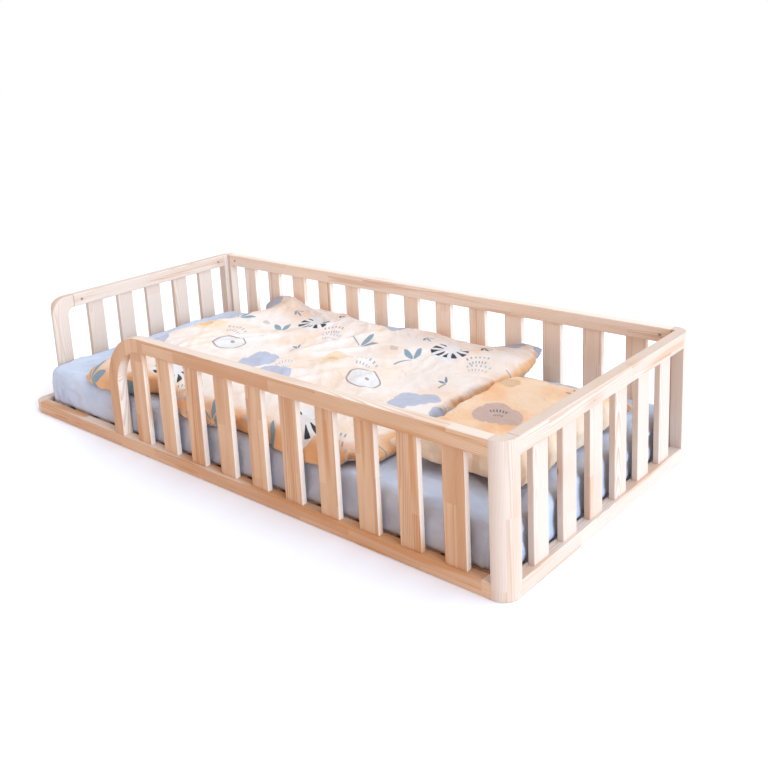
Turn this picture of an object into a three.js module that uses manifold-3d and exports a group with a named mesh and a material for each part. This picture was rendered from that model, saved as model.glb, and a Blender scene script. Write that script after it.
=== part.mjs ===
// A low floor bed for a toddler: a pine frame with slatted guards, one open corner to climb in by,
// and its mattress, duvet and pillow. Millimetres; X runs along the bed, Z is up from the floor.
// The open corner is at -X -Y.

import * as THREE from "three";
import { mergeVertices } from "three/addons/utils/BufferGeometryUtils.js";
import Module from "manifold-3d";

const wasm = await Module();
wasm.setup();

// Driving dimensions.
const BED_LENGTH = 2080;
const BED_WIDTH = 980;
const BED_HEIGHT = 400;
const JOINT_GAP = 0.3;

const RAIL_DEPTH = 36;
const TOP_RAIL_HEIGHT = 46;
const BOTTOM_RAIL_HEIGHT = 42;
const RAIL_EASING = 3;

const POST_ALONG_X = 50;
const POST_ALONG_Y = 56;
const POST_ROUNDING = 46;
const POST_EASING = 2;
const POST_ARC_STEPS = 14;

const SLAT_WIDTH = 66;
const SLAT_DEPTH = 18;
const SLAT_EASING = 2;
const BACK_SLATS = 13;
const FRONT_SLATS = 10;
const END_SLATS = 6;

const FRONT_HOOP_FROM_CENTRE = -511;
const FRONT_HOOP_LEG = 50;
const FRONT_HOOP_RADIUS = 185;
const FRONT_HOOP_TAIL = 24;

const END_HOOP_FROM_CENTRE = -388;
const END_HOOP_LEG = 64;
const END_HOOP_RADIUS = 64;
const END_HOOP_FILLET = 26;
const END_HOOP_TAIL = 4;
const END_HOOP_ROUNDING = 34;

const LEDGER = { size: 20, length: 1900, lift: 3 };
const BOARD = { width: 70, thickness: 18, length: 900, pitch: 142, perMat: 7 };
const TAPE = { width: 25, thickness: 1.2, bite: 0.3, offset: 300 };

const MATTRESS = { length: 1996, width: 896, height: 121, corner: 60, edge: 22 };
const DUVET = { left: -750, right: 545, thickness: 42, front: -452, back: 451, rise: 78 };
const PILLOW = { length: 600, width: 416, height: 130, right: 986, front: -352 };

// Sizes that follow.
const HALF_LENGTH = BED_LENGTH / 2;
const HALF_WIDTH = BED_WIDTH / 2;
const INNER_X = HALF_LENGTH - POST_ALONG_X;
const INNER_Y = HALF_WIDTH - POST_ALONG_Y;
const RAIL_X = HALF_LENGTH - RAIL_DEPTH / 2;
const RAIL_Y = HALF_WIDTH - RAIL_DEPTH / 2;
const TOP_RAIL_BOTTOM = BED_HEIGHT - TOP_RAIL_HEIGHT;
const LEG_BOTTOM = BOTTOM_RAIL_HEIGHT + JOINT_GAP;
const FRONT_HOOP_SEAM = FRONT_HOOP_FROM_CENTRE + FRONT_HOOP_RADIUS + FRONT_HOOP_TAIL;
const END_HOOP_SEAM = END_HOOP_FROM_CENTRE + END_HOOP_LEG + END_HOOP_FILLET + END_HOOP_TAIL;
const BOARD_BOTTOM = LEDGER.lift + LEDGER.size + JOINT_GAP;
const BOARD_TOP = BOARD_BOTTOM + BOARD.thickness;
const MATTRESS_BOTTOM = BOARD_TOP + TAPE.thickness + JOINT_GAP;
const MATTRESS_TOP = MATTRESS_BOTTOM + MATTRESS.height;
const BEDDING_BOTTOM = MATTRESS_TOP + 0.5;

const bed = new THREE.Group();

const pine = () => new THREE.MeshStandardMaterial({ color: "#e3bd98", roughness: 0.55, metalness: 0 });
const pineTop = () => new THREE.MeshStandardMaterial({ color: "#edd0b0", roughness: 0.55, metalness: 0 });
const rawPine = () => new THREE.MeshStandardMaterial({ color: "#dcb98f", roughness: 0.8, metalness: 0 });
const sheetBlue = () => new THREE.MeshStandardMaterial({ color: "#b9c0d2", roughness: 0.9, metalness: 0 });
const duvetCream = () => new THREE.MeshStandardMaterial({ color: "#f3e9df", roughness: 0.9, metalness: 0 });
const pillowPeach = () => new THREE.MeshStandardMaterial({ color: "#f5cfa0", roughness: 0.9, metalness: 0 });

function addPart(name, geometry, material, [x, y, z] = [0, 0, 0]) {
  const mesh = new THREE.Mesh(geometry, material);
  mesh.name = name;
  mesh.position.set(x, y, z);
  bed.add(mesh);
}

// A rectangle with round corners, centred on the origin.
function roundedRectangle(width, height, radius) {
  const x = width / 2 - radius;
  const y = height / 2 - radius;
  const shape = new THREE.Shape();
  shape.absarc(x, -y, radius, -Math.PI / 2, 0);
  shape.absarc(x, y, radius, 0, Math.PI / 2);
  shape.absarc(-x, y, radius, Math.PI / 2, Math.PI);
  shape.absarc(-x, -y, radius, Math.PI, 1.5 * Math.PI);
  return shape;
}

// An extrusion along Z from zero, its ends eased when a bevel is given.
function extrude(shape, depth, { curveSegments = 2, bevel = 0, bevelSegments = 2 } = {}) {
  const geometry = new THREE.ExtrudeGeometry(shape, {
    depth: depth - 2 * bevel,
    curveSegments,
    bevelEnabled: bevel > 0,
    bevelSize: bevel,
    bevelOffset: -bevel,
    bevelThickness: bevel,
    bevelSegments,
  });
  return geometry.translate(0, 0, bevel);
}

// Boards with eased long edges, centred across and along their length.
function boardAlongX(length, depthY, heightZ, easing) {
  const geometry = extrude(roundedRectangle(depthY, heightZ, easing), length);
  return geometry.translate(0, 0, -length / 2).rotateX(Math.PI / 2).rotateZ(Math.PI / 2);
}

function boardAlongY(length, depthX, heightZ, easing) {
  return boardAlongX(length, depthX, heightZ, easing).rotateZ(Math.PI / 2);
}

function uprightAlongX(height) {
  return extrude(roundedRectangle(SLAT_WIDTH, SLAT_DEPTH, SLAT_EASING), height, { curveSegments: 1 });
}

function uprightAlongY(height) {
  return uprightAlongX(height).rotateZ(Math.PI / 2);
}

function toSolid(geometry) {
  const bare = geometry.clone();
  bare.deleteAttribute("normal");
  bare.deleteAttribute("uv");
  const merged = mergeVertices(bare, 1e-4);
  const mesh = new wasm.Mesh({
    numProp: 3,
    vertProperties: new Float32Array(merged.attributes.position.array),
    triVerts: new Uint32Array(merged.index.array),
  });
  return new wasm.Manifold(mesh);
}

function toGeometry(solid) {
  const mesh = solid.getMesh();
  const geometry = new THREE.BufferGeometry();
  geometry.setAttribute("position", new THREE.BufferAttribute(mesh.vertProperties, 3));
  geometry.setIndex(new THREE.BufferAttribute(mesh.triVerts, 1));
  geometry.computeVertexNormals();
  return geometry;
}

// A corner post's plan: an L, flush with the rails inside, with a large round outer corner. Its
// outer corner is at the origin, and the signs say which corner of the bed it stands in.
function postPlan(signX, signY) {
  const plan = new THREE.Shape();
  plan.moveTo(-POST_ALONG_X, 0);
  plan.lineTo(-POST_ALONG_X, -RAIL_DEPTH);
  plan.lineTo(-RAIL_DEPTH, -RAIL_DEPTH);
  plan.lineTo(-RAIL_DEPTH, -POST_ALONG_Y);
  plan.lineTo(0, -POST_ALONG_Y);
  plan.absarc(-POST_ROUNDING, -POST_ROUNDING, POST_ROUNDING, 0, Math.PI / 2);
  const points = plan.getPoints(POST_ARC_STEPS);
  return new THREE.Shape(points.map(({ x, y }) => new THREE.Vector2(signX * x, signY * y)));
}

function addPosts() {
  const corners = [
    { name: "post_back_right", signX: 1, signY: 1, height: BED_HEIGHT },
    { name: "post_back_left", signX: -1, signY: 1, height: BED_HEIGHT },
    { name: "post_front_right", signX: 1, signY: -1, height: BED_HEIGHT },
    { name: "corner_block_front_left", signX: -1, signY: -1, height: BOTTOM_RAIL_HEIGHT },
  ];
  for (const { name, signX, signY, height } of corners) {
    const upright = extrude(postPlan(signX, signY), height, { bevel: POST_EASING });
    addPart(name, upright, pine(), [signX * HALF_LENGTH, signY * HALF_WIDTH, 0]);
  }
}

function addRailAlongX(name, fromX, toX, signY, bottom, height, material) {
  const length = toX - fromX - 2 * JOINT_GAP;
  const rail = boardAlongX(length, RAIL_DEPTH, height, RAIL_EASING);
  addPart(name, rail, material, [(fromX + toX) / 2, signY * RAIL_Y, bottom + height / 2]);
}

function addRailAlongY(name, fromY, toY, signX, bottom, height, material) {
  const length = toY - fromY - 2 * JOINT_GAP;
  const rail = boardAlongY(length, RAIL_DEPTH, height, RAIL_EASING);
  addPart(name, rail, material, [signX * RAIL_X, (fromY + toY) / 2, bottom + height / 2]);
}

function addRails() {
  const top = [TOP_RAIL_BOTTOM, TOP_RAIL_HEIGHT];
  const bottom = [0, BOTTOM_RAIL_HEIGHT];
  addRailAlongX("top_rail_front", FRONT_HOOP_SEAM, INNER_X, -1, ...top, pineTop());
  addRailAlongX("top_rail_back", -INNER_X, INNER_X, 1, ...top, pineTop());
  addRailAlongY("top_rail_right", -INNER_Y, INNER_Y, 1, ...top, pineTop());
  addRailAlongY("top_rail_left", END_HOOP_SEAM, INNER_Y, -1, ...top, pineTop());
  addRailAlongX("bottom_rail_front", -INNER_X, INNER_X, -1, ...bottom, pine());
  addRailAlongX("bottom_rail_back", -INNER_X, INNER_X, 1, ...bottom, pine());
  addRailAlongY("bottom_rail_right", -INNER_Y, INNER_Y, 1, ...bottom, pine());
  addRailAlongY("bottom_rail_left", -INNER_Y, INNER_Y, -1, ...bottom, pine());
}

// A bent hoop's outline, leg on the left and head running right. Its leg's outer foot is at x = 0
// and heights are above the floor. The bend is round outside and a quarter ellipse inside, and
// clearance moves the inside edge in by that much.
function hoopOutline({ leg, radius, insideX, insideY, seam, clearance = 0 }) {
  const shape = new THREE.Shape();
  const insideZ = TOP_RAIL_BOTTOM - insideY;
  const radii = [insideX - clearance, insideY - clearance];
  shape.moveTo(0, LEG_BOTTOM);
  shape.lineTo(leg + clearance, LEG_BOTTOM);
  shape.lineTo(leg + clearance, insideZ);
  shape.absellipse(leg + insideX, insideZ, ...radii, Math.PI, Math.PI / 2, true);
  shape.lineTo(seam, TOP_RAIL_BOTTOM - clearance);
  shape.lineTo(seam, BED_HEIGHT);
  shape.lineTo(radius, BED_HEIGHT);
  shape.absarc(radius, BED_HEIGHT - radius, radius, Math.PI / 2, Math.PI);
  return shape;
}

function frontHoop(clearance = 0) {
  const outline = hoopOutline({
    leg: FRONT_HOOP_LEG,
    radius: FRONT_HOOP_RADIUS,
    insideX: FRONT_HOOP_RADIUS - FRONT_HOOP_LEG,
    insideY: FRONT_HOOP_RADIUS - TOP_RAIL_HEIGHT,
    seam: FRONT_HOOP_RADIUS + FRONT_HOOP_TAIL - JOINT_GAP,
    clearance,
  });
  const hoop = extrude(outline, RAIL_DEPTH, { curveSegments: 14, bevel: clearance ? 0 : RAIL_EASING });
  return hoop.rotateX(Math.PI / 2).translate(FRONT_HOOP_FROM_CENTRE, RAIL_DEPTH - HALF_WIDTH, 0);
}

// The end hoop's leg is rounded in plan too, as the posts are, so it is cut from two extrusions.
function addEndHoop() {
  const seam = END_HOOP_LEG + END_HOOP_FILLET + END_HOOP_TAIL - JOINT_GAP;
  const outline = hoopOutline({
    leg: END_HOOP_LEG,
    radius: END_HOOP_RADIUS,
    insideX: END_HOOP_FILLET,
    insideY: END_HOOP_FILLET,
    seam,
  });
  const face = extrude(outline, RAIL_DEPTH, { curveSegments: 8, bevel: RAIL_EASING });
  face.rotateX(Math.PI / 2).rotateZ(Math.PI / 2);
  const plan = new THREE.Shape();
  plan.moveTo(RAIL_DEPTH + 1, 0);
  plan.lineTo(RAIL_DEPTH + 1, seam + 1);
  plan.lineTo(0, seam + 1);
  plan.lineTo(0, END_HOOP_ROUNDING);
  plan.absarc(END_HOOP_ROUNDING, END_HOOP_ROUNDING, END_HOOP_ROUNDING, Math.PI, 1.5 * Math.PI);
  const column = extrude(plan, BED_HEIGHT, { curveSegments: 6 });
  const hoop = toGeometry(toSolid(face).intersect(toSolid(column)));
  addPart("hoop_left", hoop, pine(), [-HALF_LENGTH, END_HOOP_FROM_CENTRE, 0]);
}

// Evenly spaced slat centres between two uprights.
function slatCentres(from, to, count) {
  const gap = (to - from - count * SLAT_WIDTH) / (count + 1);
  return Array.from({ length: count }, (_, i) => from + gap + SLAT_WIDTH / 2 + i * (gap + SLAT_WIDTH));
}

// The first front slat stands under the hoop's bend, so its top is scribed to it.
function scribedSlat(height, x) {
  const slat = toSolid(uprightAlongX(height).translate(x, -RAIL_Y, LEG_BOTTOM));
  return toGeometry(slat.subtract(toSolid(frontHoop(JOINT_GAP))));
}

function addSlats() {
  const bottom = LEG_BOTTOM;
  const height = TOP_RAIL_BOTTOM - JOINT_GAP - bottom;
  const number = (i) => String(i + 1).padStart(2, "0");
  const hoopInside = FRONT_HOOP_FROM_CENTRE + FRONT_HOOP_LEG;
  slatCentres(-INNER_X, INNER_X, BACK_SLATS).forEach((x, i) => {
    addPart(`slat_back_${number(i)}`, uprightAlongX(height), pine(), [x, RAIL_Y, bottom]);
  });
  const [firstX, ...otherX] = slatCentres(hoopInside, INNER_X, FRONT_SLATS);
  addPart(`slat_front_${number(0)}`, scribedSlat(height, firstX), pine());
  otherX.forEach((x, i) => {
    addPart(`slat_front_${number(i + 1)}`, uprightAlongX(height), pine(), [x, -RAIL_Y, bottom]);
  });
  const endCentres = slatCentres(-INNER_Y, INNER_Y, END_SLATS);
  endCentres.forEach((y, i) => {
    addPart(`slat_right_${number(i)}`, uprightAlongY(height), pine(), [RAIL_X, y, bottom]);
  });
  endCentres.slice(1).forEach((y, i) => {
    addPart(`slat_left_${number(i)}`, uprightAlongY(height), pine(), [-RAIL_X, y, bottom]);
  });
}

// What carries the mattress: a ledger along each long bottom rail and two roll-out mats of boards.
function addLedgers() {
  const ledgerY = HALF_WIDTH - RAIL_DEPTH - JOINT_GAP - LEDGER.size / 2;
  for (const [name, sign] of [["ledger_front", -1], ["ledger_back", 1]]) {
    const strip = boardAlongX(LEDGER.length, LEDGER.size, LEDGER.size, SLAT_EASING);
    addPart(name, strip, rawPine(), [0, sign * ledgerY, LEDGER.lift + LEDGER.size / 2]);
  }
}

function boardMat() {
  const span = (BOARD.perMat - 1) * BOARD.pitch;
  let mat = null;
  for (let i = 0; i < BOARD.perMat; i += 1) {
    const board = new THREE.BoxGeometry(BOARD.width, BOARD.length, BOARD.thickness);
    const solid = toSolid(board.translate(i * BOARD.pitch - span / 2, 0, BOARD.thickness / 2));
    mat = mat ? mat.add(solid) : solid;
  }
  const tapeDepth = TAPE.thickness + TAPE.bite;
  for (const sign of [-1, 1]) {
    const tape = new THREE.BoxGeometry(span + BOARD.width - 10, TAPE.width, tapeDepth);
    const tapeZ = BOARD.thickness + TAPE.thickness - tapeDepth / 2;
    mat = mat.add(toSolid(tape.translate(0, sign * TAPE.offset, tapeZ)));
  }
  return toGeometry(mat);
}

function addBoardMats() {
  const offset = (BOARD.perMat * BOARD.pitch) / 2;
  addPart("board_mat_left", boardMat(), rawPine(), [-offset, 0, BOARD_BOTTOM]);
  addPart("board_mat_right", boardMat(), rawPine(), [offset, 0, BOARD_BOTTOM]);
}

function addMattress() {
  const plan = roundedRectangle(MATTRESS.length, MATTRESS.width, MATTRESS.corner);
  const options = { curveSegments: 5, bevel: MATTRESS.edge, bevelSegments: 3 };
  const block = extrude(plan, MATTRESS.height, options);
  addPart("mattress", block, sheetBlue(), [0, 0, MATTRESS_BOTTOM]);
}

// The duvet lies flat over the mattress and its far edge is pushed up against the back slats.
function addDuvet() {
  const { thickness, front, back, rise } = DUVET;
  const turn = thickness * 1.6;
  const section = new THREE.Shape();
  section.moveTo(front + turn / 2, 0);
  section.lineTo(back - turn, 0);
  section.quadraticCurveTo(back, 0, back, turn);
  section.lineTo(back, rise);
  section.lineTo(back - thickness / 2, rise);
  section.quadraticCurveTo(back - thickness / 2, thickness, back - turn * 2, thickness);
  section.lineTo(front + turn / 2, thickness);
  section.quadraticCurveTo(front, thickness, front, thickness / 2);
  section.quadraticCurveTo(front, 0, front + turn / 2, 0);
  const length = DUVET.right - DUVET.left;
  const slab = extrude(section, length, { curveSegments: 5 });
  slab.rotateX(Math.PI / 2).rotateZ(Math.PI / 2);
  addPart("duvet", slab, duvetCream(), [DUVET.left, 0, BEDDING_BOTTOM]);
}

// A plump rounded box: a sphere whose plan is squared off.
function addPillow() {
  const geometry = new THREE.SphereGeometry(1, 32, 12).rotateX(Math.PI / 2);
  const position = geometry.attributes.position;
  const squareness = 0.45;
  const squared = (value) => Math.sign(value) * Math.abs(value) ** squareness;
  for (let i = 0; i < position.count; i += 1) {
    const [x, y, z] = [position.getX(i), position.getY(i), position.getZ(i)];
    const reach = Math.hypot(x, y) || 1;
    const planX = squared(x / reach) * reach ** squareness;
    const planY = squared(y / reach) * reach ** squareness;
    position.setXYZ(i, (planX * PILLOW.width) / 2, (planY * PILLOW.length) / 2, (z * PILLOW.height) / 2);
  }
  geometry.computeVertexNormals();
  const centre = [
    PILLOW.right - PILLOW.width / 2,
    PILLOW.front + PILLOW.length / 2,
    BEDDING_BOTTOM + PILLOW.height / 2,
  ];
  addPart("pillow", geometry, pillowPeach(), centre);
}

addPosts();
addRails();
addPart("hoop_front", frontHoop(), pine());
addEndHoop();
addSlats();
addLedgers();
addBoardMats();
addMattress();
addDuvet();
addPillow();

export default bed;
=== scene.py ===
"""A toddler's low floor bed in pine with its bedding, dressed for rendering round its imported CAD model.

Metres, in the CAD frame: X along the bed, Y from the open front to the back, Z up from the floor.
"""

import math
from collections import namedtuple

import bmesh
import bpy
import numpy as np
from mathutils import Matrix, Vector, noise


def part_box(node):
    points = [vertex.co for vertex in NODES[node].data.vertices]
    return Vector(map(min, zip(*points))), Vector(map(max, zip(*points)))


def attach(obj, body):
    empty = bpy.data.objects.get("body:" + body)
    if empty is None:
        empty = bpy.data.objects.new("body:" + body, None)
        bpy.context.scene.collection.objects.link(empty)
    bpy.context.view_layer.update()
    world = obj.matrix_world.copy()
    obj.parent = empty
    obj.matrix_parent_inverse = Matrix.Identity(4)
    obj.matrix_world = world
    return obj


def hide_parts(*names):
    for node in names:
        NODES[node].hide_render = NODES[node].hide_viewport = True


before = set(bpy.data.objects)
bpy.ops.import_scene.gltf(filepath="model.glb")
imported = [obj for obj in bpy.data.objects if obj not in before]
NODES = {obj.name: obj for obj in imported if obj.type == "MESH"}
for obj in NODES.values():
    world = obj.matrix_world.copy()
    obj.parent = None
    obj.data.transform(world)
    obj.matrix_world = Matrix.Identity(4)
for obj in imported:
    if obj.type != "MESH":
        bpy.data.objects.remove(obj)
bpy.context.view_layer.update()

# The camera, as the object is usually shown: from the front right, a little above.
CAMERA_PLACE = (2.114, -2.093, 1.279)
CAMERA_AZIMUTH = 42.13
CAMERA_ELEVATION = 13.26
CAMERA_ROLL = -3.09
CAMERA_LENS_MM = 44.34
CAMERA_SHIFT = (0.021, -0.161)

# Pine: growth rings, glued strips, and the colours of the pieces. A wood's figure is how lively its
# grain is, and its last number is how strong a painted highlight on its faces along X or up is, each from
# 0 to 1.
RING_WIDTH = 0.0031
STRIP_WIDTH = 0.033
STRIP_LENGTH = 0.42
SEED_STEP = 1.37
SEED_START = 0.61
Wood = namedtuple("Wood", "light dark figure pale_edge")
# The front pieces' pine is darker as painted shade, the back pieces' paler as painted light.
SHADED_FRONT_PINE = Wood("DFB893", "C69167", 0.85, 0.75)
LIT_BACK_PINE = Wood("F9E6D2", "F1D6BA", 0.40, 0.60)
END_PINE = Wood("D8C1AD", "D5BCA6", 0.40, 0.0)
# The colour of the painted highlight on faces that look along X or up.
PAINTED_HIGHLIGHT_PINE = "EAD8C5"
HEARTWOOD = "C98A52"
LATE_WOOD = "AE6C3C"
FIBRE = "B98358"
KNOT = "7A4524"

# Bedding, in metres. A cell is how far apart a mesh's points are.
BEDDING_CLEARANCE = 0.0022
BOX_CLEARANCE = 0.001
MATTRESS_CORNER = 0.055
MATTRESS_EDGE = 0.024
CORE_INSET = 0.012
CORE_CELL = 0.03
SHEET_INSET = 0.004
SHEET_TUCK = 0.085
SHEET_CELL = 0.0105
SHEET_THICKNESS = 0.0012
SHEET_OVER_BASE = 0.0008
SHEET_MOST_LIFT = 0.0070
SHEET_PULLS = (0.96, 0.42)  # where the pulls at the corners start, from the middle
SHEET_COLOURS = ("C4C8D0", "B3B9C6")
TICKING_COLOURS = ("F2F1EE", "DCD9D2")
TICKING_PITCH = 0.002
DUVET_FLAT = (1.35, 1.0)
DUVET_THICKNESS = 0.040
DUVET_CELL = 0.0105
# The duvet's colours: ground, warm clouds, and the painted shade along its hem.
DUVET_COLOURS = ("E6D5C5", "E6C6A9", "DE9C58")
# How far in from the border the painted shade on the hem reaches, at the front and elsewhere.
DUVET_PAINTED_SHADE_WIDTHS = (0.080, 0.026)
DUVET_CLEARANCE = 0.0025
DUVET_TURN_UP = 0.80  # share of its width before it climbs the back rail
DUVET_BACK_RUN = 0.088  # how far from its back the climb starts
DUVET_BACK_HEIGHT = 0.228  # how high its back edge is over the floor
DUVET_BULGES = (
    # place along the bed, width, height over the rest of the back edge
    (-0.615, 0.10, 0.046),
    (-0.38, 0.22, 0.016),
    (0.51, 0.14, 0.050),
)
DUVET_OVERHANG = 0.0055
DUVET_RIGHT_BY_PILLOW = 0.566  # how far right it may reach in front of PILLOW_BACK
PILLOW_THICKNESS = 0.108
PILLOW_SHOULDER = 0.095  # height over the mattress from which its top flattens off
PILLOW_CELL = 0.0080
PILLOW_BACK = 0.26  # where it ends towards the back rail
PILLOW_SEAM_HEIGHT = 0.046
# The pillow's colours: ground, warm clouds, and the painted highlight on its sides.
PILLOW_COLOURS = ("E9C6A2", "E6A66C", "EBD0B0")
# How far in from the border the painted highlight on the pillow's sides reaches.
PILLOW_PAINTED_HIGHLIGHT_WIDTHS = (0.050, 0.050)
WEAVE_PITCH = 0.0011

# The print on the duvet's cover and the pillow's case.
PRINT_REPEAT = (0.678, 0.655)
PILLOW_REPEAT = (0.9, 0.9)
PRINT_TURN = 42.0
PRINT_STRETCH = 1.7
PRINT_SOFTNESS = 0.0008

# Barrel nuts in the top rails.
NUT_FROM_JOINT = 0.032
NUT_RADIUS = 0.005
NUT_PROUD = 0.0009
NUT_SOCKET = 0.0024
NUT_SIDES = 24
STEEL_COLOURS = ("B5B3AE", "8F8D88")

# The studio round it.
STUDIO_WHITE = (1.0, 1.0, 1.0, 1.0)
STUDIO_WARM = (0.58, 0.35, 0.24, 1.0)
WARM_FROM_TO = (0.0, -0.80)
WINDOW_COLOUR = (0.47, 0.70, 1.0)
WINDOWS = (
    # name, direction it stands in, strength, spread in degrees
    ("window_high", (0.45, 0.35, 1.0), 2.0, 60.0),
    ("window_low", (1.0, -0.30, 0.27), 3.4, 26.0),
)
FLOOR_COLOURS = ("F6F3F0", "FAF7F4")
FLOOR_REACH = 30.0
FLOOR_BELOW = 0.0005


class Wire:
    """A socket of a node graph that plain arithmetic works on."""

    def __init__(self, graph, socket):
        self.graph = graph
        self.socket = socket

    def __add__(self, other):
        return self.graph.math("ADD", self, other)

    def __radd__(self, other):
        return self.graph.math("ADD", other, self)

    def __sub__(self, other):
        return self.graph.math("SUBTRACT", self, other)

    def __rsub__(self, other):
        return self.graph.math("SUBTRACT", other, self)

    def __mul__(self, other):
        return self.graph.math("MULTIPLY", self, other)

    def __rmul__(self, other):
        return self.graph.math("MULTIPLY", other, self)

    def __truediv__(self, other):
        return self.graph.math("DIVIDE", self, other)

    def floor(self):
        return self.graph.math("FLOOR", self)

    def fract(self):
        return self.graph.math("FRACT", self)

    def abs(self):
        return self.graph.math("ABSOLUTE", self)

    def sine(self):
        return self.graph.math("SINE", self)

    def least(self, other):
        return self.graph.math("MINIMUM", self, other)

    def most(self, other):
        return self.graph.math("MAXIMUM", self, other)


class Graph:
    """The node graph of a material or a world, under construction."""

    def __init__(self, owner):
        self.owner = owner
        self.owner.use_nodes = True
        self.tree = owner.node_tree

    def node(self, kind, inputs=(), **settings):
        made = self.tree.nodes.new(kind)
        for key, value in settings.items():
            setattr(made, key, value)
        for key, value in dict(inputs).items():
            self.feed(made.inputs[key], value)
        return made

    def feed(self, socket, value):
        if isinstance(value, Wire):
            self.tree.links.new(value.socket, socket)
        else:
            socket.default_value = value

    def math(self, operation, *values):
        made = self.node("ShaderNodeMath", enumerate(values), operation=operation)
        return Wire(self, made.outputs[0])

    def combine(self, x, y, z=0.0):
        made = self.node("ShaderNodeCombineXYZ", {"X": x, "Y": y, "Z": z})
        return Wire(self, made.outputs[0])

    def split(self, vector):
        made = self.node("ShaderNodeSeparateXYZ", {"Vector": vector})
        return [Wire(self, made.outputs[i]) for i in range(3)]

    def place(self):
        """Where a point is, in the object's own metres."""
        return Wire(self, self.node("ShaderNodeTexCoord").outputs["Object"])

    def painted_highlight_faces(self):
        """Where a painted highlight goes: 1 on faces that look along the object's X or up, 0 on the
        others.
        """
        normal = Wire(self, self.node("ShaderNodeTexCoord").outputs["Normal"])
        x, _, z = self.split(normal)
        return self.smooth(x.abs().most(z), 0.6, 0.9)

    def attribute(self, name):
        return Wire(self, self.node("ShaderNodeAttribute", attribute_name=name).outputs["Vector"])

    def noise(self, vector, scale, detail=2.0, roughness=0.5, distortion=0.0):
        inputs = {
            "Vector": vector,
            "Scale": scale,
            "Detail": detail,
            "Roughness": roughness,
            "Distortion": distortion,
        }
        return Wire(self, self.node("ShaderNodeTexNoise", inputs).outputs[0])

    def chance(self, vector):
        """One random value from 0 to 1 for each whole vector."""
        return Wire(self, self.node("ShaderNodeTexWhiteNoise", {"Vector": vector}).outputs["Value"])

    def length(self, *parts):
        vector = self.combine(*parts)
        made = self.node("ShaderNodeVectorMath", {0: vector}, operation="LENGTH")
        return Wire(self, made.outputs["Value"])

    def smooth(self, value, low, high, to_low=0.0, to_high=1.0):
        inputs = {"Value": value, "From Min": low, "From Max": high, "To Min": to_low, "To Max": to_high}
        made = self.node("ShaderNodeMapRange", inputs, interpolation_type="SMOOTHSTEP")
        return Wire(self, made.outputs[0])

    def mix(self, share, first, second):
        made = self.node("ShaderNodeMix", {0: share}, data_type="RGBA")
        self.feed(made.inputs[6], first)
        self.feed(made.inputs[7], second)
        return Wire(self, made.outputs[2])

    def bump(self, height, distance, strength=1.0, under=None):
        inputs = {"Height": height, "Distance": distance, "Strength": strength}
        if under:
            inputs["Normal"] = under
        return Wire(self, self.node("ShaderNodeBump", inputs).outputs[0])

    def finish(self, colour, roughness, normal=None, **constants):
        """Feeds the material's shader, and gives the material."""
        shader = self.tree.nodes["Principled BSDF"]
        self.feed(shader.inputs["Base Color"], colour)
        self.feed(shader.inputs["Roughness"], roughness)
        if normal:
            self.feed(shader.inputs["Normal"], normal)
        for socket, value in constants.items():
            shader.inputs[socket.replace("_", " ")].default_value = value
        return self.owner


def new_material(name):
    """The graph of a new material."""
    return Graph(bpy.data.materials.new(name))


def srgb(code):
    """A linear colour from a hexadecimal sRGB code."""
    parts = [int(code[i : i + 2], 16) / 255 for i in (0, 2, 4)]
    linear = [c / 12.92 if c <= 0.04045 else ((c + 0.055) / 1.055) ** 2.4 for c in parts]
    return (*linear, 1.0)


def glued_strips(g, across, length, seed):
    """Three random values from 0 to 1 for each of the finger-jointed strips."""
    shift = 0.5 + 0.31 * math.sin(seed * 12.9898)
    strip = (across / STRIP_WIDTH + shift).floor()
    block = ((length + strip * 0.237) / STRIP_LENGTH + shift * 3.7).floor()
    tone = g.chance(g.combine(strip, block, seed))
    pith = g.chance(g.combine(block, seed + 11.0, strip))
    figure = g.chance(g.combine(seed + 3.0, strip, block))
    return tone, pith, figure


def growth_rings(g, across, depth, length, drift, tone, pith):
    """The dark late wood of rings round a leaning pith behind the face, from 0 to 1."""
    pith_across = (tone - 0.5) * 0.11 + length * (pith - 0.5) * 0.07
    pith_depth = 0.014 + pith * 0.045
    wobble = (drift - 0.5) * 0.020
    radius = g.length(across - pith_across + wobble, depth + pith_depth)
    ripple = g.noise(g.combine(across, depth, length * 0.12), 60.0, 2.0) * 0.0016
    share = ((radius + ripple) / RING_WIDTH).fract()
    return g.smooth(share, 0.40, 0.93) * (1.0 - g.smooth(share, 0.95, 1.0))


def knots(g, across, depth, length, seed):
    """A few knots, and the darker wood round each of them, from 0 to 1."""
    cells = g.node(
        "ShaderNodeTexVoronoi",
        {"Vector": g.combine(across * 8, depth * 3, length * 3.1 + seed), "Scale": 1.0},
    )
    distance = Wire(g, cells.outputs["Distance"])
    red, _, _ = g.split(Wire(g, cells.outputs["Color"]))
    here = g.smooth(red, 0.74, 0.76)
    knot = (1.0 - g.smooth(distance, 0.022, 0.050)) * here
    around = (1.0 - g.smooth(distance, 0.04, 0.22)) * here
    return knot, around


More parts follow.
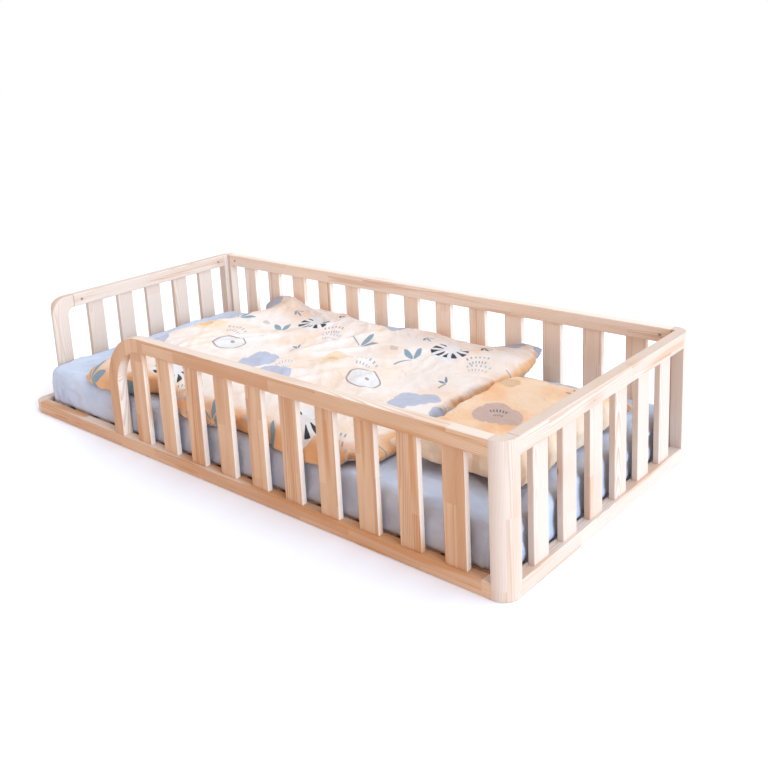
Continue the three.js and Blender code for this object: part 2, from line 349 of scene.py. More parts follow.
def pine(name, centre, along, seed, wood):
    """Planed pine, finger-jointed from short strips, with growth rings round an off-centre pith, and a
    painted highlight that makes its faces along X or up paler.
    """
    g = new_material(name)
    x, y, z = g.split(g.place())
    own = {"X": x - centre[0], "Y": y - centre[1], "Z": z - centre[2]}
    length = own[along]
    across, depth = [own[axis] for axis in "XYZ" if axis != along]
    if along != "Z":
        across, depth = depth, across
    tone, pith, figure = glued_strips(g, across, length, seed)
    drift = g.noise(g.combine(across * 3, depth * 3, length + seed), 2.2, 1.0)
    late_wood = growth_rings(g, across, depth, length, drift, tone, pith)
    knot, knot_ring = knots(g, across, depth, length, seed)
    fibre = g.noise(g.combine(across * 60, depth * 60, length * 1.1), 14.0, 3.0, 0.6)
    patch = g.noise(g.combine(across * 9, depth * 9, length * 0.9 + seed), 3.0, 2.0)
    heart = g.noise(g.combine(across * 26 + seed, depth * 6, length * 1.3), 1.6, 2.0)
    darker = g.smooth(tone * 0.40 + patch * 0.9, 0.25, 1.10)
    body = g.mix(darker, srgb(wood.light), srgb(wood.dark))
    # Painted highlight: faces that look along X or up are paler and show less grain.
    edge = g.painted_highlight_faces() * wood.pale_edge
    body = g.mix(edge, body, srgb(PAINTED_HIGHLIGHT_PINE))
    streaked = g.smooth(heart, 0.51, 0.66) * g.smooth(figure, 0.30, 0.65)
    colour = g.mix(streaked * wood.figure, body, srgb(HEARTWOOD))
    grain = late_wood * (0.15 + g.smooth(drift, 0.3, 0.75) * 0.30 + figure * 0.28)
    grain = grain * (0.50 + wood.figure * 0.70) * (1.0 - edge * 0.55)
    colour = g.mix(grain + knot_ring * 0.22, colour, srgb(LATE_WOOD))
    colour = g.mix(g.smooth(fibre, 0.5, 0.9) * 0.20, colour, srgb(FIBRE))
    colour = g.mix(knot * 0.8, colour, srgb(KNOT))
    height = fibre * 0.5 - late_wood * 0.35 - knot * 0.4
    roughness = 0.50 + fibre * 0.16 - late_wood * 0.06
    normal = g.bump(height, 0.00035, 0.7)
    return g.finish(colour, roughness, normal, Specular_IOR_Level=0.35)


def weave_height(g, at, pitch):
    """A plain weave: threads over and under each other, from 0 to 1."""
    x, y, _ = g.split(at)
    warp = (x * (math.pi / pitch)).sine()
    weft = (y * (math.pi / pitch)).sine()
    return (warp * weft) * 0.5 + 0.5


def woven(name, colours, roughness, pitch):
    """Plain woven cotton, a little uneven in colour."""
    light, dark = [srgb(code) for code in colours]
    g = new_material(name)
    at = g.attribute("cloth_at")
    weave = weave_height(g, at, pitch)
    cloud = g.noise(at, 6.0, 3.0)
    slub = g.noise(at, 420.0, 1.0)
    colour = g.mix(g.smooth(cloud, 0.35, 0.7), light, dark)
    colour = g.mix(weave * 0.10 + slub * 0.10, colour, dark)
    wrinkle = g.noise(at, 34.0, 4.0, 0.6, 0.6)
    normal = g.bump(wrinkle, 0.0050, 0.75)
    normal = g.bump(weave + slub, 0.00025, 0.5, normal)
    return g.finish(colour, roughness + (weave - 0.5) * 0.06, normal, Sheen_Weight=0.15)


def blob(g, x, y, size):
    """A cloud or pebble: three round lobes with a flat foot."""
    left = g.length(x + size * 0.40, y + size * 0.06) - size * 0.34
    middle = g.length(x, y - size * 0.08) - size * 0.52
    right = g.length(x - size * 0.43, y - size * 0.02) - size * 0.36
    edge = g.noise(g.combine(x, y), 55.0, 1.0) * 0.008
    return left.least(middle).least(right).most(-1.0 * (y + size * 0.40)) + edge - 0.004


def leaf(g, x, y, angle, length):
    """One pointed leaf that grows away from near the origin."""
    stalk = length * 0.08
    along = x * math.cos(angle) + y * math.sin(angle) - length / 2 - stalk
    across = y * math.cos(angle) - x * math.sin(angle)
    width = length * 0.33
    radius = (length * length + width * width) / (4 * width)
    return g.length(along, across.abs() + (radius - width / 2)) - radius


def sprig(g, x, y, size):
    """Three leaves on short stalks from one stem, one of them long and thin."""
    broad = leaf(g, x, y, 2.11, size).least(leaf(g, x, y, 1.20, size * 0.95))
    bent = y + x * x * 3.0
    thin = (bent.abs() - 0.0020).most((x + size * 0.55).abs() - size * 0.45)
    return broad.least(thin)


def fan(g, x, y, size):
    """A spread of tapering strokes, widest at their outer ends."""
    angle = g.math("ARCTAN2", y, x)
    away = g.length(x, y)
    stroke = (angle * 12.0 + 0.6).sine()
    narrow = g.smooth(away, size * 0.25, size * 0.9, 1.0, -0.15)
    ends = (size * 0.42 - away).most(away - size * (0.96 + 0.12 * (angle * 3.0).sine()))
    return ((narrow - stroke) * 0.0030).most(ends).most(-0.3 * size - y)


def dashes(g, x, y, size):
    """Two rows of short strokes along an arc."""
    away = g.length(x, y + size * 1.2)
    angle = g.math("ARCTAN2", y + size * 1.2, x)
    stroke = (angle * 34.0).sine()
    row = ((away - size * 1.25).abs() - 0.011).abs() - 0.005
    reach = (angle - math.pi / 2).abs() * size - size * 0.55
    return ((0.35 - stroke) * 0.0022).most(row).most(reach)


def ring(g, x, y, size):
    """A hand-drawn rounded oval with a dot in it."""
    oval = (g.length((x + y * 0.25) / 1.12, y * 1.25) - size * 0.42).abs() - 0.0026
    dot = g.length(x - size * 0.1, y * 1.3) - 0.0070
    return oval.least(dot)


def glow(g, x, y, size):
    """A round patch of white ground under another motif."""
    return g.length(x, y - size * 0.25) - size


def ring_ground(g, x, y, size):
    """The paler inside of a ring."""
    return g.length((x + y * 0.25) / 1.12, y * 1.25) - size * 0.42


MOTIFS = (
    # shape, place on the cloth, turn from the print's own slant in degrees, size, colour
    (glow, -0.300, 0.271, 150, 0.062, "DCD2C9"),
    (fan, -0.300, 0.271, 150, 0.066, "060608"),
    (ring_ground, -0.346, -0.093, -10, 0.118, "D9CFC5"),
    (ring, -0.346, -0.093, -10, 0.118, "A0877A"),
    (blob, -0.105, -0.156, 6, 0.092, "AFAEB6"),
    (blob, 0.045, 0.420, 12, 0.098, "AFAEB6"),
    (blob, 0.101, 0.005, -4, 0.080, "E3C4A0"),
    (blob, 0.090, -0.005, -4, 0.034, "E2AE70"),
    (sprig, -0.340, 0.127, 0, 0.062, "7A8F95"),
    (sprig, 0.058, 0.153, -70, 0.066, "7A8F95"),
    (sprig, -0.105, 0.020, 20, 0.028, "6B7F8B"),
    (sprig, 0.210, -0.290, 150, 0.034, "8C8F95"),
    (dashes, 0.235, 0.020, -30, 0.056, "9BA0A6"),
    (dashes, -0.100, 0.165, -20, 0.050, "A6AAB2"),
    (dashes, -0.140, -0.440, -10, 0.050, "8F949B"),
    (blob, 0.200, 0.175, 120, 0.024, "C9B09F"),
    (sprig, -0.220, 0.390, 150, 0.030, "5C6166"),
    (dashes, 0.010, -0.130, 10, 0.036, "A9B3BC"),
)

PILLOW_MOTIFS = (
    # the same columns
    (blob, -0.015, -0.072, -20, 0.092, "BE9E8C"),
    (dashes, -0.015, -0.060, -20, 0.030, "4A3F3C"),
    (sprig, 0.100, 0.180, 20, 0.036, "B08F6E"),
    (ring, 0.120, -0.220, -20, 0.050, "B99A80"),
    (sprig, -0.130, -0.210, 80, 0.036, "4E4642"),
    (blob, -0.130, 0.170, 160, 0.044, "D3AA7E"),
    (blob, 0.268, -0.060, 60, 0.036, "C98F58"),
    (sprig, 0.250, 0.090, -50, 0.040, "8A6A50"),
)


def printed_cotton(name, colours, painted_rim_widths, motifs, repeat):
    """Woven cotton with a loose repeat print of clouds, sprigs, fans, rings and dashes.

    colours are the ground's, its warm clouds' and the painted rim's (painted shade on the duvet's hem, a
    painted highlight on the pillow's sides). The widths are how far it reaches in from the border, at the
    front and elsewhere.
    """
    ground, warm, painted_rim_tone = [srgb(code) for code in colours]
    g = new_material(name)
    at = g.attribute("cloth_at")
    x, y, edge_distance = g.split(at)
    cloud = g.noise(g.combine(x, y), 5.0, 3.0)
    blotch = g.noise(g.combine(x, y), 17.0, 2.0)
    colour = g.mix(g.smooth(cloud, 0.40, 0.66) * 0.85, ground, warm)
    # Painted rim along the border, wider at the front: painted shade on the duvet's hem, a painted
    # highlight on the pillow's sides.
    front_width, side_width = painted_rim_widths
    painted_rim_width = g.smooth(y, -0.45, -0.30, front_width, side_width)
    reach = edge_distance / painted_rim_width + (blotch - 0.5) * 0.9
    painted_rim = 1.0 - g.smooth(reach, 0.25, 1.0)
    colour = g.mix(painted_rim * 0.85, colour, painted_rim_tone)
    slub = g.noise(at, 420.0, 1.0)
    colour = g.mix(slub * 0.10, colour, warm)
    slant = math.radians(PRINT_TURN)
    for shape, place_x, place_y, turn, size, tint in motifs:
        cell_x = (((x - place_x) / repeat[0] + 0.5).fract() - 0.5) * repeat[0]
        cell_y = (((y - place_y) / repeat[1] + 0.5).fract() - 0.5) * repeat[1]
        slant_x = cell_x * math.cos(slant) + cell_y * math.sin(slant)
        slant_y = (cell_y * math.cos(slant) - cell_x * math.sin(slant)) / PRINT_STRETCH
        cosine, sine = math.cos(math.radians(turn)), math.sin(math.radians(turn))
        local_x = slant_x * cosine + slant_y * sine
        local_y = slant_y * cosine - slant_x * sine
        inked = 1.0 - g.smooth(shape(g, local_x, local_y, size), -PRINT_SOFTNESS, PRINT_SOFTNESS)
        colour = g.mix(inked, colour, srgb(tint))
    weave = weave_height(g, at, WEAVE_PITCH)
    wrinkle = g.noise(g.combine(x, y), 30.0, 4.0, 0.6, 0.8)
    normal = g.bump(wrinkle, 0.006, 0.8)
    normal = g.bump(weave + slub, 0.00025, 0.5, normal)
    return g.finish(colour, 0.84 + (weave - 0.5) * 0.06, normal, Sheen_Weight=0.12)


def grain_axis(node):
    """The axis that a wooden piece's grain follows, by its name."""
    if node.startswith(("slat", "post", "corner", "hoop")):
        return "Z"
    return "Y" if node.endswith(("_left", "_right")) and "rail" in node else "X"


def wood_of(node):
    """Which pine a wooden piece gets: darker at the front as painted shade, paler at the back as painted
    light.
    """
    if node.startswith(("post", "corner")):
        return END_PINE
    if "front" in node:
        return SHADED_FRONT_PINE
    return LIT_BACK_PINE if "back" in node else END_PINE


def dress_wood():
    """Gives every wooden piece its own pine in place of the CAD's plain colour."""
    wooden = [n for n in sorted(NODES) if not n.startswith(("mattress", "duvet", "pillow"))]
    for seed, node in enumerate(wooden):
        low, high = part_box(node)
        middle = (low + high) / 2
        own_seed = seed * SEED_STEP + SEED_START
        material = pine(f"pine_{node}", middle, grain_axis(node), own_seed, wood_of(node))
        piece = NODES[node]
        piece.data.materials.clear()
        piece.data.materials.append(material)


def smoothstep(value, low, high):
    """0 below low, 1 above high, and a smooth rise between them."""
    share = np.clip((value - low) / (high - low), 0.0, 1.0)
    return share * share * (3.0 - 2.0 * share)


def hill(value, middle, width):
    """A smooth hump, 1 in the middle."""
    return np.exp(-(((value - middle) / width) ** 2))


def soft_noise(points, scale, seed):
    """Smooth noise of about -0.5 to 0.5 at each row of points."""
    shifted = np.asarray(points) * scale + np.array([seed * 7.31, seed * 3.77, seed * 5.13])
    return np.array([noise.noise(Vector(p)) for p in shifted])


def turned(points, degrees, squeeze):
    """Points turned about Z, then squeezed along the first axis so that noise on them runs in folds."""
    cosine, sine = math.cos(math.radians(degrees)), math.sin(math.radians(degrees))
    x, y = points[:, 0], points[:, 1]
    return np.c_[(x * cosine + y * sine) * squeeze, y * cosine - x * sine, points[:, 2]]


def ridges(points, scale, seed, sharpness=1.6):
    """Winding soft crests from 0 to 1, such as the folds of rumpled cloth."""
    sway = np.c_[
        soft_noise(points, scale * 0.5, seed + 1),
        soft_noise(points, scale * 0.5, seed + 2),
        0 * points[:, 0],
    ]
    level = np.abs(soft_noise(points + sway * 0.9 / scale, scale, seed))
    return np.clip(1.0 - level * 3.6, 0.0, 1.0) ** sharpness


def puckers(along, to_border, pitch, reach, seed):
    """The small gathers of a seam, fading away from it, from -1 to 1."""
    drift = soft_noise(np.c_[along, 0 * along, 0 * along], 9.0, seed)
    return np.sin(2 * math.pi * along / pitch + 9.0 * drift) * np.exp(-to_border / reach)


def along_border(a, b, to_border, length):
    """How far along the nearest side of the flat cut a point is."""
    on_short_side = np.abs(a) > length / 2 - to_border - 1e-6
    return np.where(on_short_side, b, a)


def grid_faces(index):
    """The quads of a grid of vertex numbers."""
    return [
        (index[i, j], index[i + 1, j], index[i + 1, j + 1], index[i, j + 1])
        for i in range(index.shape[0] - 1)
        for j in range(index.shape[1] - 1)
    ]


def add_object(name, data):
    """A new object in the scene, with this mesh, light or camera."""
    made = bpy.data.objects.new(name, data)
    bpy.context.scene.collection.objects.link(made)
    return made


def make_mesh(name, points, faces, cloth_at):
    """A smooth piece that carries cloth_at, its points' places on the flat cloth."""
    mesh = bpy.data.meshes.new(name)
    mesh.from_pydata(points.tolist(), [], faces)
    mesh.validate()
    flat = mesh.attributes.new("cloth_at", "FLOAT_VECTOR", "POINT")
    flat.data.foreach_set("vector", np.asarray(cloth_at, np.float32).ravel())
    mesh.shade_smooth()
    return add_object(name, mesh)


def stuffed(name, size, cell, shape):
    """A closed case of two layers sewn round their border, such as a pillow's.

    size is the flat cut, and shape gives the points of one layer from its flat coordinates and
    side, 1 above and -1 below. On the border both sides are the same.
    """
    columns, rows = [max(8, round(s / cell)) for s in size]
    a, b = np.meshgrid(
        np.linspace(-size[0] / 2, size[0] / 2, columns + 1),
        np.linspace(-size[1] / 2, size[1] / 2, rows + 1),
        indexing="ij",
    )
    upper = np.arange(a.size).reshape(a.shape)
    lower = upper.copy()
    inner = np.zeros(a.shape, bool)
    inner[1:-1, 1:-1] = True
    lower[inner] = a.size + np.arange(inner.sum())
    points = np.vstack([shape(a.ravel(), b.ravel(), 1), shape(a[inner], b[inner], -1)])
    to_border = np.minimum(size[0] / 2 - np.abs(a), size[1] / 2 - np.abs(b))
    cloth = np.stack([a, b, to_border], axis=-1)
    flat = np.vstack([cloth.reshape(-1, 3), cloth[inner]])
    faces = grid_faces(upper) + [face[::-1] for face in grid_faces(lower)]
    return make_mesh(name, points, faces, flat)


def coordinates(mesh):
    """The mesh's points, one in each row."""
    points = np.zeros(len(mesh.vertices) * 3, np.float32)
    mesh.vertices.foreach_get("co", points)
    return points.reshape(-1, 3).astype(float)


def crumple(piece, height):
    """A stuffed piece's points, moved along their normals by height(flat x, flat y, to border, side)."""
    mesh = piece.data
    points = coordinates(mesh)
    flat = np.zeros(len(mesh.vertices) * 3, np.float32)
    mesh.attributes["cloth_at"].data.foreach_get("vector", flat)
    flat = flat.reshape(-1, 3).astype(float)
    normals = np.array([vertex.normal[:] for vertex in mesh.vertices])
    lift = height(flat[:, 0], flat[:, 1], flat[:, 2], np.sign(normals[:, 2]))
    return points + normals * lift[:, None]


def place_points(piece, points):
    """Moves a piece's points to these places."""
    piece.data.vertices.foreach_set("co", points.astype(np.float32).ravel())
    piece.data.update()


def above_mattress(points, clearance):
    """How low each point may lie over the mattress's rounded top."""
    _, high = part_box("mattress")
    past = np.maximum(np.abs(points[:, 1]) - (high.y - MATTRESS_EDGE), 0.0)
    drop = MATTRESS_EDGE - np.sqrt(MATTRESS_EDGE**2 - np.minimum(past, MATTRESS_EDGE) ** 2)
    return high.z - drop + clearance


def puff(piece, pressure, swell, bending, reach, settle, frames=18):
    """Inflates a piece by Cloth and keeps the result, no point moving further than reach.

    settle keeps the points clear of what the piece lies against.
    """
    start = coordinates(piece.data)
    cloth = piece.modifiers.new("cloth", "CLOTH")
    settings = cloth.settings
    settings.quality = 4
    settings.mass = 0.25
    settings.tension_stiffness = 14
    settings.compression_stiffness = 14
    settings.shear_stiffness = 7
    settings.bending_stiffness = bending
    settings.shrink_min = -swell
    settings.use_pressure = True
    settings.uniform_pressure_force = pressure
    settings.effector_weights.gravity = 0.0
    cloth.point_cache.frame_start = 1
    cloth.point_cache.frame_end = frames
    for step in range(1, frames + 1):
        bpy.context.scene.frame_set(step)
    shown = piece.evaluated_get(bpy.context.evaluated_depsgraph_get())
    done = coordinates(shown.data)
    piece.modifiers.remove(cloth)
    bpy.context.scene.frame_set(1)
    move = done - start
    far = np.linalg.norm(move, axis=1, keepdims=True)
    place_points(piece, settle(start + move * np.minimum(1.0, reach / np.maximum(far, 1e-9))))


def refine(piece):
    """Rounds a piece's mesh off, with four faces for each one."""
    smoother = piece.modifiers.new("finer", "SUBSURF")
    smoother.levels = 1
    smoother.render_levels = 1


def fold_down(a, b, half, corner, edge):
    """Where the points of a flat cloth go when it is laid over a block and folded down all round.

    Gives the points relative to the block's top centre, and their outward directions.
    """
    inner = (half[0] - corner, half[1] - corner)
    out_a = np.maximum(np.abs(a) - inner[0], 0.0)
    out_b = np.maximum(np.abs(b) - inner[1], 0.0)
    reach = np.maximum(out_a, out_b)
    turn = np.arctan2(out_b, np.maximum(out_a, 1e-12))
    to_a, to_b = np.cos(turn) * np.sign(a), np.sin(turn) * np.sign(b)
    flat_run = corner - edge
    bent = np.clip(reach - flat_run, 0.0, edge * math.pi / 2)
    dropped = np.maximum(reach - flat_run - edge * math.pi / 2, 0.0)
    out = np.minimum(reach, flat_run) + edge * np.sin(bent / edge)
    down = edge * (1.0 - np.cos(bent / edge)) + dropped
    x = np.clip(a, -inner[0], inner[0]) + to_a * out
    y = np.clip(b, -inner[1], inner[1]) + to_b * out
    lean = np.sin(bent / edge)
    facing = np.c_[to_a * lean, to_b * lean, np.cos(bent / edge)]
    return np.c_[x, y, -down], facing


def sheet_creases(a, b):
    """How far the fitted sheet stands off the mattress: pulls at its corners and loose runs."""
    at = np.c_[a, b, 0 * a]
    lift = 0.0012 * soft_noise(at, 9.0, 1) + 0.0010 * soft_noise(at * [1.0, 0.35, 1.0], 26.0, 2)
    for side_x, side_y in ((-1, -1), (1, -1), (-1, 1), (1, 1)):
        from_x, from_y = a - side_x * SHEET_PULLS[0], b - side_y * SHEET_PULLS[1]
        angle = np.arctan2(from_y * side_y, -from_x * side_x)
        away = np.hypot(from_x, from_y)
        rays = np.cos(angle * 17 + 2.6 * np.sin(away * 9 + side_x) + side_y)
        sharp = np.maximum(rays, 0.0) ** 2.0
        lift += 0.0070 * sharp * smoothstep(away, 0.03, 0.12) * (1 - smoothstep(away, 0.16, 0.50))
    folds = ridges(turned(at, 38.0, 0.3), 7.0, 5) * smoothstep(soft_noise(at, 2.3, 6), -0.10, 0.25)
    lift += 0.0055 * folds
    drop = smoothstep(np.abs(b), 0.43, 0.50)
    hanging = ridges(turned(at, 62.0, 0.35), 9.0, 8)
    waves = np.sin(a * 31 + 2.5 * np.sin(a * 5.0)) * soft_noise(at * [1.0, 0.2, 1.0], 5.0, 7)
    return lift + drop * (0.005 * waves + 0.0055 * hanging) + 0.0008


def over_and_down(half, drop):
    """How far a cloth runs from a block's top centre, over its edge and drop down its side."""
    return [h - MATTRESS_EDGE + MATTRESS_EDGE * math.pi / 2 + drop - MATTRESS_EDGE for h in half]


def add_mattress_core():
    """The foam mattress in its ticking, under the fitted sheet."""
    low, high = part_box("mattress")
    middle = (low + high) / 2
    size = high - low
    half = (size.x / 2 - CORE_INSET, size.y / 2 - CORE_INSET)
    side = size.z / 2 - CORE_INSET

    def block(a, b, layer):
        points, _ = fold_down(a, b, half, MATTRESS_CORNER, MATTRESS_EDGE)
        points[:, 2] = layer * (points[:, 2] + side)
        return points + [middle.x, middle.y, low.z + size.z / 2]

    cut = [2 * reach for reach in over_and_down(half, side)]
    core = stuffed("mattress_core", cut, CORE_CELL, block)
    core.data.materials.append(woven("mattress_ticking", TICKING_COLOURS, 0.85, TICKING_PITCH))
    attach(core, "root")


def add_fitted_sheet():
    """The sheet over the mattress, folded down its sides and tucked under all round."""
    low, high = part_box("mattress")
    middle = (low + high) / 2
    size = high - low
    half = (size.x / 2 - SHEET_INSET, size.y / 2 - SHEET_INSET)
    drop = size.z - SHEET_INSET - SHEET_OVER_BASE
    flat = [2 * (reach + SHEET_TUCK) for reach in over_and_down(half, drop)]
    columns, rows = [round(f / SHEET_CELL) for f in flat]
    grid_a, grid_b = np.meshgrid(
        np.linspace(-flat[0] / 2, flat[0] / 2, columns + 1),
        np.linspace(-flat[1] / 2, flat[1] / 2, rows + 1),
        indexing="ij",
    )
    a, b = grid_a.ravel(), grid_b.ravel()
    points, facing = fold_down(a, b, half, MATTRESS_CORNER, MATTRESS_EDGE)
    fallen = -points[:, 2]
    slack = 0.0045 * smoothstep(fallen, 0.06, drop)
    lift = np.minimum(sheet_creases(a, b) + slack, SHEET_MOST_LIFT)
    points += facing * lift[:, None]
    tucked = np.maximum(fallen - drop, 0.0)
    points -= facing * [1, 1, 0] * tucked[:, None]
    points[:, 2] = np.maximum(points[:, 2], -drop)
    points += [middle.x, middle.y, high.z - SHEET_INSET + SHEET_THICKNESS / 2]
    faces = grid_faces(np.arange(a.size).reshape(grid_a.shape))
    cover = make_mesh("fitted_sheet", points, faces, np.c_[a, b, 0 * a])
    thick = cover.modifiers.new("thickness", "SOLIDIFY")
    thick.thickness = SHEET_THICKNESS
    thick.offset = 0.0
    cover.data.materials.append(woven("fitted_sheet_cotton", SHEET_COLOURS, 0.82, WEAVE_PITCH))
    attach(cover, "root")
    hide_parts("mattress")


def duvet_back_height(x):
    """How high the duvet's back edge reaches up the back rail."""
    bulges = sum(height * hill(x, place, width) for place, width, height in DUVET_BULGES)
    return DUVET_BACK_HEIGHT + bulges - 0.020 * smoothstep(-x, 0.68, 0.76)


def duvet_rumples(a, b, to_border, side):
    """How far the duvet's cover stands off its filling: long and short folds, and gathers."""
    at = np.c_[a, b, 0 * a + side * 3.0]
    long_folds = ridges(turned(at, 50.0, 0.28), 8.0, 21)
    short_folds = ridges(turned(at, -38.0, 0.45), 15.0, 31)
    where = smoothstep(soft_noise(at, 2.6, 41), -0.22, 0.20)
    seam = puckers(along_border(a, b, to_border, DUVET_FLAT[0]), to_border, 0.034, 0.022, 51)
    folds = 0.0098 * long_folds * where + 0.0046 * short_folds * (0.35 + 0.65 * where)
    return folds + 0.0032 * seam - 0.002


def add_duvet():
    """The duvet: flat on the mattress, up against the back rail and over the front edge."""
    low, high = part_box("duvet")
    _, bed_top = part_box("mattress")
    floor = bed_top.z + BEDDING_CLEARANCE
    back_flat = high.y - DUVET_BACK_RUN
    foremost = low.y - DUVET_OVERHANG

    def shape(a, b, layer):
        u, v = a / DUVET_FLAT[0] + 0.5, b / DUVET_FLAT[1] + 0.5
        left = low.x - 0.012 + 0.045 * hill(v, 0.0, 0.10) + 0.050 * hill(v, 0.74, 0.26)
        right = high.x - 0.008 + 0.012 * v - 0.012 * hill(v, 0.5, 0.2)
        x = left + (right - left) * u
        front = foremost + 0.006 + 0.038 * hill(x, -0.38, 0.10) + 0.100 * smoothstep(x, 0.43, 0.55)
        front += 0.005 * np.sin(x * 17.0) + 0.030 * smoothstep(-x, 0.66, 0.76)
        thickness = DUVET_THICKNESS * np.sqrt(
            (1 - np.abs(2 * u - 1) ** 26) * (1 - np.abs(2 * v - 1) ** 22)
        )
        at = np.c_[a, b, 0 * a]
        thickness *= 1.0 + 0.6 * soft_noise(at, 5.0, 3)
        climb = smoothstep(v, DUVET_TURN_UP, 1.0)
        y = front + (back_flat - front) * np.minimum(v / DUVET_TURN_UP, 1.0)
        turned_up = np.clip((v - DUVET_TURN_UP) / (1 - DUVET_TURN_UP), 0, 1)
        y += (high.y - 0.020 - back_flat) * np.sin(turned_up * math.pi / 2)
        top = floor + DUVET_THICKNESS / 2 + 0.012 * (soft_noise(at, 4.0, 9) + 0.5) * (1 - climb)
        top += 0.010 * ridges(turned(at, 24.0, 0.45), 4.2, 14) * smoothstep(v, 0.05, 0.2)
        top -= 0.020 * smoothstep(-y, 0.395, 0.452)
        corner_lift = smoothstep(u, 0.80, 1.0) * smoothstep(v, 0.52, 0.88)
        along_pillow = smoothstep(u, 0.90, 1.0) * smoothstep(v, 0.10, 0.25)
        along_pillow *= 1 - smoothstep(v, 0.6, 0.8)
        z = top + (duvet_back_height(x) - 0.004 - top) * climb + 0.036 * corner_lift * (1 - climb)
        z += 0.008 * along_pillow
        lean = climb * 0.85
        offset = layer * thickness / 2
        return np.c_[x, y - offset * np.sin(lean), z + offset * np.cos(lean)]

    def settle(points):
        points[:, 1] = np.clip(points[:, 1], foremost, high.y - BOX_CLEARANCE)
        points[:, 2] = np.maximum(points[:, 2], above_mattress(points, DUVET_CLEARANCE))
        beside_pillow = points[:, 1] < PILLOW_BACK
        shortened = np.minimum(points[:, 0], DUVET_RIGHT_BY_PILLOW)
        points[:, 0] = np.where(beside_pillow, shortened, points[:, 0])
        return points

    duvet = stuffed("duvet_in_cover", DUVET_FLAT, DUVET_CELL, shape)
    puff(duvet, pressure=1.3, swell=0.07, bending=0.02, reach=0.022, settle=settle, frames=24)
    place_points(duvet, settle(crumple(duvet, duvet_rumples)))
    refine(duvet)
    cover = printed_cotton("duvet_cover_cotton", DUVET_COLOURS, DUVET_PAINTED_SHADE_WIDTHS, MOTIFS, PRINT_REPEAT)
    duvet.data.materials.append(cover)
    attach(duvet, "root")
    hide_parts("duvet")


def add_pillow():
    """The pillow, flat on the mattress at the right end, beside the duvet."""
    low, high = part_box("pillow")
    size = high - low
    flat = (size.x, size.y)
    middle = (low + high) / 2
    _, bed_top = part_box("mattress")
    floor = bed_top.z + BEDDING_CLEARANCE
    shoulder = floor + PILLOW_SHOULDER

    def shape(a, b, layer):
        p, q = 2 * a / flat[0], 2 * b / flat[1]
        pull_x = 1 - 0.060 * (1 - q * q)
        pull_y = 1 - 0.050 * (1 - p * p)
        x = middle.x + a * pull_x * 0.975
        y = middle.y + b * pull_y * 0.975
        crown = ((1 - np.abs(p) ** 2.6) * (1 - np.abs(q) ** 2.4)) ** 0.66
        thickness = PILLOW_THICKNESS * crown
        seam = floor + PILLOW_SEAM_HEIGHT + 0.014 * smoothstep(-q, 0.45, 1.0) + 0.012 * (1 - crown)
        z = seam + layer * thickness * (0.53 if layer > 0 else 0.40)
        return np.c_[x, y, np.maximum(z, floor)]

    def settle(points):
        room = high.z + 0.004 - shoulder
        over = np.maximum(points[:, 2] - shoulder, 0.0)
        points[:, 2] = np.minimum(points[:, 2], shoulder) + room * (1 - np.exp(-over / room))
        points[:, 2] = np.maximum(points[:, 2], floor)
        points[:, 0] = np.clip(points[:, 0], low.x + BOX_CLEARANCE, high.x - BOX_CLEARANCE)
        points[:, 1] = np.clip(points[:, 1], low.y + BOX_CLEARANCE, high.y)
        return points

    def rumples(a, b, to_border, side):
        at = np.c_[a, b, 0 * a + side * 3.0]
        folds = ridges(turned(at, 55.0, 0.40), 8.0, 61)
        fine = ridges(turned(at, -20.0, 0.5), 17.0, 71)
        seam = puckers(along_border(a, b, to_border, flat[0]), to_border, 0.040, 0.034, 81)
        return 0.0055 * folds + 0.0028 * fine + 0.0042 * seam - 0.002

    pillow = stuffed("pillow_in_case", flat, PILLOW_CELL, shape)
    puff(pillow, pressure=2.6, swell=0.05, bending=0.08, reach=0.022, settle=settle)
    place_points(pillow, settle(crumple(pillow, rumples)))
    refine(pillow)
    case = printed_cotton(
        "pillowcase_cotton", PILLOW_COLOURS, PILLOW_PAINTED_HIGHLIGHT_WIDTHS, PILLOW_MOTIFS, PILLOW_REPEAT
    )
    pillow.data.materials.append(case)
    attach(pillow, "root")
    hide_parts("pillow")


def zinc():
    """Bright zinc-plated steel, a little brushed."""
    g = new_material("zinc_steel")
    x, y, z = g.split(g.place())
    brushed = g.noise(g.combine(x * 40, y * 40, z), 300.0, 2.0)
    light, dark = [srgb(code) for code in STEEL_COLOURS]
    colour = g.mix(brushed, light, dark)
    return g.finish(colour, 0.30 + brushed * 0.2, g.bump(brushed, 0.0001, 0.5), Metallic=1.0)


def turned_piece(name, centre, axis, inward, profile):
    """A round piece that stands out of a face across axis, from its profile of radii and heights."""
    across = 1 - axis
    points = []
    for radius, height in profile:
        for step in range(NUT_SIDES):
            turn = 2 * math.pi * step / NUT_SIDES
            point = centre.copy()
            point[axis] += radius * math.cos(turn)
            point[across] += inward * height
            point.z += radius * math.sin(turn)
            points.append(point)
    index = np.arange(len(points)).reshape(len(profile), NUT_SIDES)
    closed = np.c_[index, index[:, :1]]
    faces = [tuple(index[0]), tuple(index[-1][::-1])]
    faces += [face[::-1] for face in grid_faces(closed)]
    mesh = bpy.data.meshes.new(name)
    mesh.from_pydata(points, [], [[int(i) for i in face] for face in faces])
    outward = bmesh.new()
    outward.from_mesh(mesh)
    bmesh.ops.recalc_face_normals(outward, faces=outward.faces)
    outward.to_mesh(mesh)
    outward.free()
    return add_object(name, mesh)


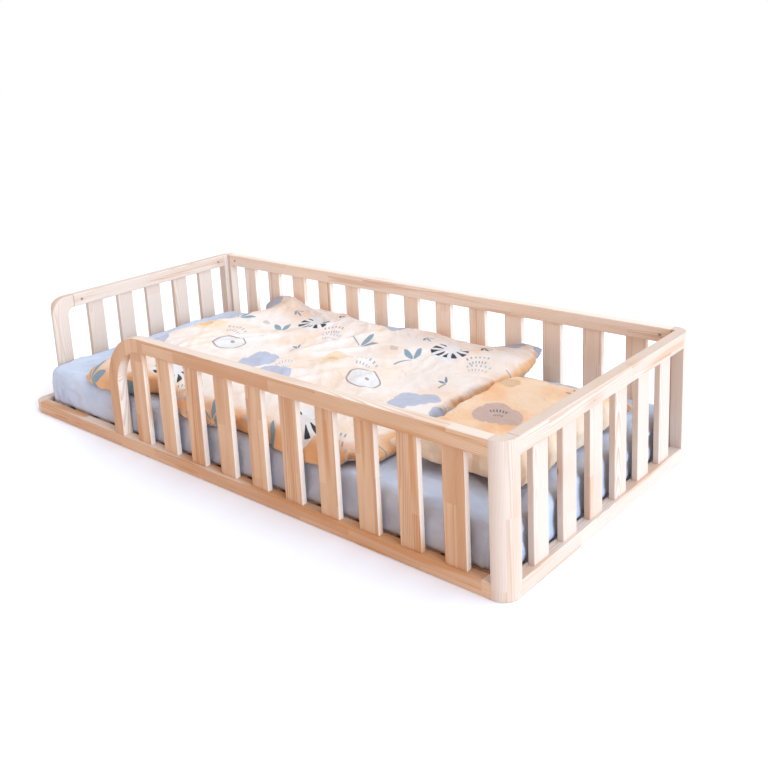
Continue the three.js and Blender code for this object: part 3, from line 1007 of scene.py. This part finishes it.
def add_barrel_nuts():
    """The ends of the steel barrel nuts in the inner faces of the top rails, beside each joint."""
    steel = zinc()
    profile = (
        (NUT_RADIUS, 0.00005),
        (NUT_RADIUS, NUT_PROUD * 0.6),
        (NUT_RADIUS - 0.0004, NUT_PROUD),
        (NUT_SOCKET, NUT_PROUD),
        (NUT_SOCKET * 0.92, 0.0002),
    )
    for rail, axis, inward in (("front", 0, 1), ("back", 0, -1), ("left", 1, 1), ("right", 1, -1)):
        low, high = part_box(f"top_rail_{rail}")
        across = 1 - axis
        ends = (("low", low[axis] + NUT_FROM_JOINT), ("high", high[axis] - NUT_FROM_JOINT))
        for end, place in ends:
            centre = Vector((0, 0, (low.z + high.z) / 2))
            centre[axis] = place
            centre[across] = high[across] if inward > 0 else low[across]
            nut = turned_piece(f"barrel_nut_{rail}_{end}", centre, axis, inward, profile)
            nut.data.materials.append(steel)
            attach(nut, "root")


def add_floor():
    """A plain pale floor, wide enough to pass for endless."""
    g = new_material("pale_floor")
    mottle = g.noise(g.place(), 3.0, 3.0)
    dark, light = [srgb(code) for code in FLOOR_COLOURS]
    colour = g.mix(mottle, dark, light)
    floor_material = g.finish(colour, 0.85)
    mesh = bpy.data.meshes.new("floor")
    corners = [(-1, -1, 0), (1, -1, 0), (1, 1, 0), (-1, 1, 0)]
    mesh.from_pydata([Vector(c) * FLOOR_REACH for c in corners], [], [(0, 1, 2, 3)])
    mesh.materials.append(floor_material)
    floor = add_object("floor", mesh)
    floor.location.z = -FLOOR_BELOW


def add_sky():
    """A white studio, dimmer and warmer at the front. The camera sees it as plain white."""
    g = Graph(bpy.data.worlds.new("studio"))
    _, y, _ = g.split(Wire(g, g.node("ShaderNodeTexCoord").outputs["Generated"]))
    studio = g.mix(g.smooth(y, *WARM_FROM_TO), STUDIO_WHITE, STUDIO_WARM)
    seen = Wire(g, g.node("ShaderNodeLightPath").outputs["Is Camera Ray"])
    g.feed(g.tree.nodes["Background"].inputs["Color"], g.mix(seen, studio, STUDIO_WHITE))
    bpy.context.scene.world = g.owner


def add_windows():
    """Cool daylight from above and from beyond the pillow end."""
    for name, stands, strength, spread in WINDOWS:
        window = bpy.data.lights.new(name, "SUN")
        window.energy = strength
        window.color = WINDOW_COLOUR
        window.angle = math.radians(spread)
        lamp = add_object(name, window)
        lamp.rotation_euler = (-Vector(stands)).to_track_quat("-Z", "Y").to_euler()


def add_camera():
    """The camera at its usual place."""
    data = bpy.data.cameras.new("camera")
    data.lens = CAMERA_LENS_MM
    data.shift_x, data.shift_y = CAMERA_SHIFT
    camera = add_object("camera", data)
    camera.location = CAMERA_PLACE
    turn = Matrix.Rotation(math.radians(CAMERA_AZIMUTH), 3, "Z")
    tilt = Matrix.Rotation(math.radians(90 - CAMERA_ELEVATION), 3, "X")
    roll = Matrix.Rotation(math.radians(CAMERA_ROLL), 3, "Z")
    camera.rotation_euler = (turn @ tilt @ roll).to_euler()
    bpy.context.scene.camera = camera


bpy.context.scene.view_settings.view_transform = "Standard"
add_camera()
add_sky()
add_windows()
add_floor()
dress_wood()
add_mattress_core()
add_fitted_sheet()
add_duvet()
add_pillow()
add_barrel_nuts()
